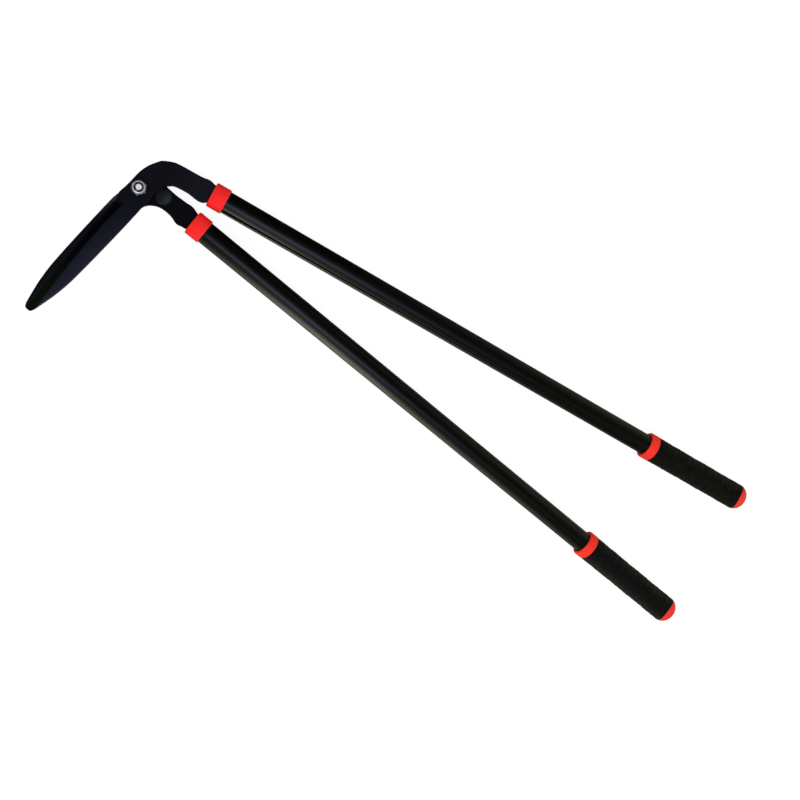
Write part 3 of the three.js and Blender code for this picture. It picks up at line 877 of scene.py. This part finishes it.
class Finish:
    """A material, or the world, and the nodes that are added to it."""

    def __init__(self, name, owner=None):
        self.owner = owner or bpy.data.materials.new(name)
        self.owner.use_nodes = True
        self.tree = self.owner.node_tree
        self.tree.nodes.clear()

    def node(self, kind, settings=None, sockets=None, output=0):
        """Adds a node: its settings first, then the value or link of each socket. Colours are opaque."""
        made = self.tree.nodes.new(kind)
        for name, value in (settings or {}).items():
            setattr(made, name, value)
        for name, value in (sockets or {}).items():
            socket = made.inputs[name]
            if isinstance(value, Value):
                self.tree.links.new(value.socket, socket)
            else:
                socket.default_value = (*value, 1) if socket.type == "RGBA" else value
        return Value(self, made.outputs[output]) if made.outputs else None

    def place(self):
        """Object coordinates in millimetres."""
        place = self.node("ShaderNodeTexCoord", output=3)
        return self.node("ShaderNodeVectorMath", {"operation": "SCALE"}, {0: place, "Scale": metre})

    def stretched(self, turn, scale):
        """Object coordinates in millimetres, turned about Z and then scaled along each axis."""
        sockets = {"Vector": self.place(), "Rotation": (0, 0, turn), "Scale": scale}
        return self.node("ShaderNodeMapping", {"vector_type": "TEXTURE"}, sockets)

    def noise(self, size, detail=3.0, roughness=0.55, at=None):
        """Cloudy noise from 0 to 1 with features about as wide as the size, in millimetres."""
        sockets = {"Vector": at or self.place(), "Scale": 1 / size, "Detail": detail, "Roughness": roughness}
        return self.node("ShaderNodeTexNoise", None, sockets)

    def spread(self, value, low, high):
        """The value drawn out so that low becomes 0 and high becomes 1, and held there."""
        sockets = {"Value": value, "From Min": low, "From Max": high}
        return self.node("ShaderNodeMapRange", {"clamp": True}, sockets)

    def maths(self, operation, first, second=0.0):
        return self.node("ShaderNodeMath", {"operation": operation}, {0: first, 1: second})

    def tint(self, shade, level):
        """A colour times a level."""
        return self.node("ShaderNodeVectorMath", {"operation": "SCALE"}, {0: shade, "Scale": level})

    def rays(self):
        """Whether a camera, a glossy or a transmission ray arrives."""
        return [self.node("ShaderNodeLightPath", output=output) for output in (0, 3, 6)]

    def attribute(self, name):
        return self.node("ShaderNodeAttribute", {"attribute_name": name}, output=2)

    def mix(self, share, first, second):
        """A colour from the first to the second."""
        settings = {"data_type": "RGBA", "clamp_factor": True}
        return self.node("ShaderNodeMix", settings, {0: share, 6: first, 7: second}, output=2)

    def bump(self, height, depth):
        """A normal from a height of 0 to 1, which stands for that depth in millimetres."""
        return self.node("ShaderNodeBump", None, {"Height": height, "Distance": depth * millimetre})

    def surface(self, **sockets):
        """The finish's one Principled shader. Names are its sockets, with spaces for underscores."""
        named = {name.replace("_", " "): value for name, value in sockets.items()}
        shader = self.node("ShaderNodeBsdfPrincipled", None, named)
        self.output(shader)
        return self.owner

    def output(self, shader):
        kind = "World" if isinstance(self.owner, bpy.types.World) else "Material"
        self.node(f"ShaderNodeOutput{kind}", None, {"Surface": shader})


def coated_steel(name, arm_colour_and_shadow, spine_highlight, spine_highlight_ends, gloss):
    """Forged plate in satin black coating. A painted reflection makes it bluer towards the spine and the tip,
    and painted shade makes it darker round the pivot. The arm takes the given colour. The ground bevel is
    smoother and blacker, and paler towards the tip and the cutting edge. The mating faces are bare ground
    steel with a painted reflection, bright at the heel and darker towards the tip. The edges are paler in
    places, partly from wear of the coating and partly as a painted highlight, and a painted highlight runs
    along the spine's edge between the given shares of the blade's length."""
    finish = Finish(name)
    ground, keen, mating = [finish.attribute(title) for title in ("ground", "keen", "mating")]
    rim, length, side, arm = [finish.attribute(title) for title in ("rim", "length", "side", "arm")]
    mottle = finish.noise(14.0, 4.0)
    speckle = finish.noise(2.0, 5.0, 0.65)
    grain = finish.noise(0.5, 4.0)
    marks = finish.noise(0.5, 3.0, at=finish.stretched(-blade_lean, (6.0, 0.35, 1.0)))
    outward = finish.spread(length, 0.15, 0.5)
    # Painted shade round the pivot, and a painted reflection that grows towards the tip
    pivot_shade_black, blade_black = (0.0020, 0.0025, 0.0046), (0.0044, 0.0046, 0.0074)
    pivot_shade_blue, blade_reflection_blue = (0.0036, 0.0044, 0.0086), (0.0100, 0.0112, 0.0225)
    black = finish.mix(outward, pivot_shade_black, blade_black)
    # The blue is a painted reflection of the overhead light, laid towards the spine
    blue = finish.mix(outward, pivot_shade_blue, blade_reflection_blue)
    # The arm's own colour; on the back lever it is a painted shadow of the upper lever
    coat = finish.mix(arm, finish.mix(side, black, blue), arm_colour_and_shadow)
    coat = finish.tint(coat, 0.25 + 0.8 * mottle + 0.7 * speckle)
    # Paler rounded edges in places: partly wear of the coating, partly a painted highlight
    wear_and_edge_highlight = finish.spread(rim * 0.75 + finish.noise(5.0) * 0.5, 0.72, 1.0)
    wear_and_highlight_colour, keen_shade = (0.030, 0.031, 0.036), (0.0150, 0.0165, 0.0172)
    coat = finish.mix(wear_and_edge_highlight * 0.45, coat, wear_and_highlight_colour)
    # Painted highlight along the spine's edge, between the given shares of the length
    coat = finish.mix(rim * side * finish.spread(length, *spine_highlight_ends), coat, spine_highlight)
    heel_black, tip_black = (0.0014, 0.0017, 0.0054), (0.0075, 0.0092, 0.0062)
    bevel = finish.mix(finish.spread(length, 0.5, 0.85), heel_black, tip_black)
    bevel = finish.mix(finish.spread(keen, 0.55, 1.0), bevel, keen_shade)
    coat = finish.mix(ground, coat, bevel)
    # The mating faces carry a painted reflection: bright steel at the heel, in shade towards the tip
    bare, steel_in_shade = (0.045, 0.046, 0.047), (0.006, 0.0065, 0.0065)
    steel = finish.mix(finish.spread(length, 0.13, 0.3), bare, steel_in_shade)
    relief = grain * (1 - ground) * (1 - mating) + marks * (0.35 * ground + 0.5 * mating)
    return finish.surface(
        Base_Color=finish.mix(mating, coat, steel),
        Roughness=0.44 + 0.08 * (mottle - 0.5) - 0.08 * ground - 0.10 * mating,
        Metallic=0.85 * mating + 0.9 * ground,
        Normal=finish.bump(relief, 0.018),
        Specular_IOR_Level=gloss,
    )


def tube_paint():
    """Gloss black paint with a faint orange peel, a soft cloud and fine scuffs along the tube."""
    finish = Finish("tube_paint")
    peel = finish.noise(2.2, 1.5, 0.4)
    cloud = finish.noise(30.0, 3.0)
    scuff = finish.spread(finish.noise(1.0, 5.0, 0.7, at=finish.stretched(0.0, (14.0, 1.0, 1.0))), 0.62, 0.75)
    return finish.surface(
        Base_Color=finish.mix(cloud, (0.0005, 0.0005, 0.0002), (0.0015, 0.0016, 0.0009)),
        Roughness=0.12 + 0.04 * cloud + 0.05 * scuff,
        Normal=finish.bump(peel, 0.006),
        Specular_IOR_Level=0.17,
    )


def red_plastic(name, dark, light):
    """Moulded red plastic, satin, with a fine spark-eroded grain, and a painted highlight that makes it paler
    along its rounded ends.
    """
    finish = Finish(name)
    grain = finish.noise(0.35, 3.0)
    cloud = finish.noise(9.0, 3.0)
    base = finish.mix(cloud, dark, light)
    return finish.surface(
        # Painted highlight: a paler red along the rounded ends
        Base_Color=finish.mix(finish.attribute("rim") * 0.5, base, (0.98, 0.09, 0.07)),
        Roughness=0.44 + 0.08 * cloud,
        Normal=finish.bump(grain, 0.012),
        Specular_IOR_Level=0.14,
    )


def grip_rubber():
    """Black rubber with a leathery grain and paler specks on its high spots."""
    finish = Finish("grip_rubber")
    cells = finish.node(
        "ShaderNodeTexVoronoi",
        {"feature": "SMOOTH_F1"},
        {"Vector": finish.place(), "Scale": 1 / 1.9, "Smoothness": 0.6},
    )
    fine = finish.noise(1.8, 5.0, 0.65)
    patch = finish.noise(7.0, 4.0, 0.6)
    pale_specks = finish.spread(fine * 0.9 + patch * 0.4, 0.58, 0.92)
    return finish.surface(
        Base_Color=finish.mix(pale_specks, (0.0002, 0.0003, 0.0001), (0.0060, 0.0063, 0.0036)),
        Roughness=0.48 + 0.12 * patch,
        Normal=finish.bump(cells * 0.5 + fine * 0.4 + patch * 0.5, 0.30),
        Specular_IOR_Level=0.105,
    )


def buffer_rubber():
    """Dark blue-grey moulded rubber with a painted highlight: a paler spot, streaked along its length."""
    finish = Finish("buffer_rubber")
    fine = finish.noise(0.5, 4.0)
    streak = finish.noise(2.2, 3.0, at=finish.stretched(highlight_turn, (1.0, 3.5, 1.0)))
    # Painted highlight on the pad, in streaks
    buffer_highlight = finish.attribute("buffer_highlight") * (0.5 + 1.0 * streak)
    return finish.surface(
        Base_Color=finish.mix(buffer_highlight, (0.0035, 0.0046, 0.0072), (0.0215, 0.0245, 0.0315)),
        Roughness=0.46 + 0.10 * streak,
        Normal=finish.bump(fine, 0.02),
        Specular_IOR_Level=0.13,
    )


def zinc_steel(name, bright, dull, shine, dark=None, spot_size=0.7):
    """Zinc plate with a fine grain and dull spots. Threads and the nut's hexagon are painted dark, a painted
    shade, and shine like bare metal."""
    finish = Finish(name)
    cloud = finish.noise(1.8, 3.0)
    spots = finish.spread(finish.noise(spot_size, 4.0), 0.55, 0.68)
    base = finish.mix(spots, bright, dull)
    # Painted shade on the threads and the nut's hexagon
    if dark:
        painted_shade_zone = finish.attribute("painted_shade_zone")
        base, shine = finish.mix(painted_shade_zone, base, dark), shine + (0.95 - shine) * painted_shade_zone
    return finish.surface(
        Base_Color=base,
        Metallic=shine,
        Roughness=0.18 + 0.10 * cloud + 0.12 * spots,
        Normal=finish.bump(finish.noise(0.3, 2.0), 0.008),
    )


def nylon(name, dark, light):
    """Moulded nylon: a soft mottle between two shades."""
    finish = Finish(name)
    cloud = finish.noise(2.5, 3.0)
    return finish.surface(
        Base_Color=finish.mix(cloud, dark, light),
        Roughness=0.45 + 0.10 * cloud,
        Normal=finish.bump(finish.noise(0.4), 0.015),
        Specular_IOR_Level=0.3,
    )


# Building and placing


def finish_piece(piece, material, slot, body, *replaced):
    """Gives a piece its finish, the body that it rides on and the nodes that it stands for. The slot is not
    used.
    """
    piece.data.materials.clear()
    piece.data.materials.append(material)
    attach(piece, body)
    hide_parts(*replaced)


def repaint(node, material):
    """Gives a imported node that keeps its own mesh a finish."""
    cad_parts[node].data.materials.clear()
    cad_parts[node].data.materials.append(material)


# The front plate's spine takes a painted highlight that grows towards the tip
front_steel = coated_steel(
    "front_steel",
    arm_colour_and_shadow=(0.0050, 0.0055, 0.0088),
    spine_highlight=(0.072, 0.075, 0.095),
    spine_highlight_ends=(0.1, 0.72),
    gloss=0.10,
)
# The back plate lies under the front one: its arm's colour is a painted shadow, and its spine's painted
# highlight is brightest at the heel
back_steel = coated_steel(
    "back_steel",
    arm_colour_and_shadow=(0.0016, 0.0020, 0.0034),
    spine_highlight=(0.150, 0.155, 0.150),
    spine_highlight_ends=(0.75, 0.1),
    gloss=0.05,
)
paint, rubber, pad = tube_paint(), grip_rubber(), buffer_rubber()
collar_red = red_plastic("collar_red", (0.88, 0.0110, 0.0125), (1.0, 0.0200, 0.0190))
grip_red = red_plastic("grip_red", (0.93, 0.0290, 0.0160), (1.0, 0.0390, 0.0230))
cap_red = red_plastic("cap_red", (0.84, 0.0360, 0.0210), (0.95, 0.0500, 0.0310))
zinc = zinc_steel("zinc_steel", bright=(0.62, 0.62, 0.63), dull=(0.40, 0.40, 0.39), shine=0.6)
nut_zinc = zinc_steel(
    "nut_zinc",
    bright=(0.62, 0.62, 0.63),
    dull=(0.36, 0.36, 0.35),
    shine=0.6,
    # dark: the painted shade on the hexagon
    dark=(0.15, 0.15, 0.16),
)
bolt_zinc = zinc_steel(
    "bolt_zinc",
    bright=(0.90, 0.90, 0.90),
    dull=(0.34, 0.34, 0.36),
    shine=0.35,
    # dark: the painted shade on the thread and its chamfer
    dark=(0.10, 0.10, 0.11),
    spot_size=2.6,
)
grey_nylon = nylon("grey_nylon", (0.018, 0.019, 0.021), (0.030, 0.031, 0.034))
pale_nylon = nylon("pale_nylon", (0.52, 0.50, 0.42), (0.62, 0.60, 0.52))

for lever in (lower, upper):
    name, body = lever.name, lever.body
    steel = front_steel if lever is upper else back_steel
    finish_piece(add_plate(lever), steel, "blackened_steel", body, f"{name}_blade")
    finish_piece(add_collar(lever), collar_red, "red_plastic", body, f"{name}_collar")
    finish_piece(add_tube(lever), paint, "black_paint", body, f"{name}_tube")
    finish_piece(add_grip_ring(lever), grip_red, "red_plastic", body, f"{name}_grip_ring")
    finish_piece(add_grip(lever), rubber, "grip_rubber", body, f"{name}_grip")
    finish_piece(add_end_cap(lever), cap_red, "red_plastic", body, f"{name}_end_cap")
    repaint(f"{name}_tang_insert", pale_nylon)
    repaint(f"{name}_tang_pin", zinc)

bore = bolt_radius + fit_gap
washer = add_ring("plain_washer", washer_base, washer_top, bore, washer_radius)
lock_ring = add_ring("nylon_ring", lock_ring_base, lock_ring_top, bore, lock_ring_radius)
finish_piece(add_bolt(), bolt_zinc, "zinc_steel", "lower_lever", "pivot_bolt")
finish_piece(washer, zinc, "zinc_steel", "lower_lever", "pivot_washer")
finish_piece(add_nut(), nut_zinc, "zinc_steel", "lower_lever", "pivot_nut")
finish_piece(lock_ring, grey_nylon, "grey_nylon", "lower_lever", "nut_lock_ring")
finish_piece(add_buffer(), pad, "buffer_rubber", "lower_lever", "stop_buffer")
finish_piece(add_rivet(), zinc, "zinc_steel", "lower_lever", "buffer_rivet")


# Studio


def add_floor():
    """A white floor under the lowest point, which keeps a soft shadow. For the camera, and through anything
    clear, it glows white. Gloss looks through it to the world, whose lower half is the same floor lit from
    one side."""
    lowest = cad_box[0].z
    mesh = bpy.data.meshes.new("floor")
    reach = 30.0
    square = [(-reach, -reach), (reach, -reach), (reach, reach), (-reach, reach)]
    mesh.from_pydata([(*corner, lowest) for corner in square], [], [(0, 1, 2, 3)])
    floor = add_object("floor", mesh)
    finish = Finish("white_floor")
    camera_ray, glossy_ray, clear_ray = finish.rays()
    glow = finish.node("ShaderNodeEmission", None, {"Strength": 0.90 * (camera_ray + clear_ray)})
    matte = finish.node("ShaderNodeBsdfDiffuse", None, {"Color": (0.17, 0.17, 0.165)})
    white = finish.node("ShaderNodeAddShader", None, {0: matte, 1: glow})
    clear = finish.node("ShaderNodeBsdfTransparent")
    finish.output(finish.node("ShaderNodeMixShader", None, {0: glossy_ray, 1: white, 2: clear}))
    mesh.materials.append(finish.owner)


def add_lamp(name, place, aim, size, radiance, tint):
    """A flat lamp that faces a point: its power is pi times its area times the radiance."""
    data = bpy.data.lights.new(name, "AREA")
    data.shape = "RECTANGLE"
    data.size, data.size_y = size
    data.energy = np.pi * data.size * data.size_y * radiance
    data.color = tint
    lamp = add_object(name, data)
    lamp.location = place
    lamp.rotation_euler = (Vector(aim) - Vector(place)).to_track_quat("-Z", "Y").to_euler()
    lamp.visible_camera = False
    lamp.visible_glossy = False


def light_world():
    """White behind the object for the camera and through anything clear, and a plain level for matte
    surfaces. Gloss shows that white studio as a dark object sees it, by the angle round the X axis and the
    slant along it: a long cool light overhead, its far ends, the floor and wall lit warm and bright on the
    -Y side, a dimmer fill on the +Y side, and a dark room between them. Each is a bell or a power of the
    angle, times a bell, a rise or a fall of the slant."""
    world = bpy.data.worlds.new("studio")
    world.cycles.sampling_method = "NONE"
    bpy.context.scene.world = world
    finish = Finish("studio", world)
    camera_ray, glossy_ray, clear_ray = finish.rays()
    ray = finish.node("ShaderNodeTexCoord")
    slant, side, rise = [
        finish.node("ShaderNodeSeparateXYZ", None, {"Vector": ray}, output=axis) for axis in range(3)
    ]
    angle = finish.maths("ARCTAN2", side, rise) * (180 / np.pi)

    def bell(value, middle, width):
        return finish.maths("EXPONENT", ((value - middle) / width) ** 2.0 * -1.0)

    def beyond(value, limit):
        return finish.maths("MAXIMUM", value - limit, 0.0)

    steepness = finish.maths("ABSOLUTE", slant)
    inward = beyond(slant, 0.0)
    overhead = 3.2 * (1 + ((angle + 23) / 21) ** 2.0) ** -1.75
    overhead *= finish.maths("EXPONENT", beyond(steepness, 0.07) * -7.2)
    ends = 1.6 * beyond(steepness, 0.45) * bell(angle, -15.0, 45.0)
    wall = 2.3 * bell(angle, -102.0, 37.0) * bell(slant, 0.10, 0.25)
    spot = 4.2 * bell(angle, -92.0, 30.0) * bell(slant, 0.02, 0.10)
    fill = 1.25 * bell(angle, 80.0, 40.0) * inward
    room = 0.04 + 0.25 * inward
    cool = finish.tint((0.84, 0.92, 1.28), overhead)
    warm = finish.tint((1.0, 1.03, 0.82), wall + spot + fill + ends + room)
    gloss = finish.node("ShaderNodeVectorMath", {"operation": "ADD"}, {0: cool, 1: warm})
    plain = finish.mix(camera_ray + clear_ray, (0.62, 0.62, 0.62), (1, 1, 1))
    shown = finish.mix(glossy_ray * (1 - camera_ray), plain, gloss)
    finish.output(finish.node("ShaderNodeBackground", None, {"Color": shown}))


def add_camera():
    """The photograph's view: where it stands, the point that it looks at, and its roll."""
    place = Vector((0.0974, -0.1277, 1.2745))
    aim = Vector((0.4099, -0.0347, 0.016))
    roll = np.radians(106.96)
    ahead = (aim - place).normalized()
    level_right = ahead.cross(Vector((0, 0, 1))).normalized()
    level_up = level_right.cross(ahead)
    right = level_right * np.cos(roll) + level_up * np.sin(roll)
    up = right.cross(ahead)
    data = bpy.data.cameras.new("photo_camera")
    data.sensor_width = 36.0
    data.lens = 45.54
    data.clip_start, data.clip_end = 0.01, 100.0
    camera = add_object("photo_camera", data)
    turned_axes = Matrix((right, up, -ahead)).transposed()
    camera.matrix_world = Matrix.Translation(place) @ turned_axes.to_4x4()
    bpy.context.scene.camera = camera


# Lamps: the place of each, the point that it faces, its width and height, its radiance and its tint
lamps = {
    "overhead_softbox": [(0.20, -0.80, 1.90), (0.15, 0.02, 0.0), (1.3, 1.3), 3.0, (0.86, 0.92, 1.0)],
    "near_strip": [(0.40, -2.20, 0.32), (0.40, 0.0, 0.0), (3.6, 0.6), 2.4, (1.0, 1.0, 0.84)],
    "far_fill": [(2.20, 1.30, 0.50), (0.60, 0.0, 0.0), (1.2, 0.8), 1.5, (1.0, 1.0, 0.92)],
}

add_floor()
light_world()
for name, lamp in lamps.items():
    add_lamp(name, *lamp)
add_camera()
bpy.context.scene.view_settings.view_transform = "Standard"
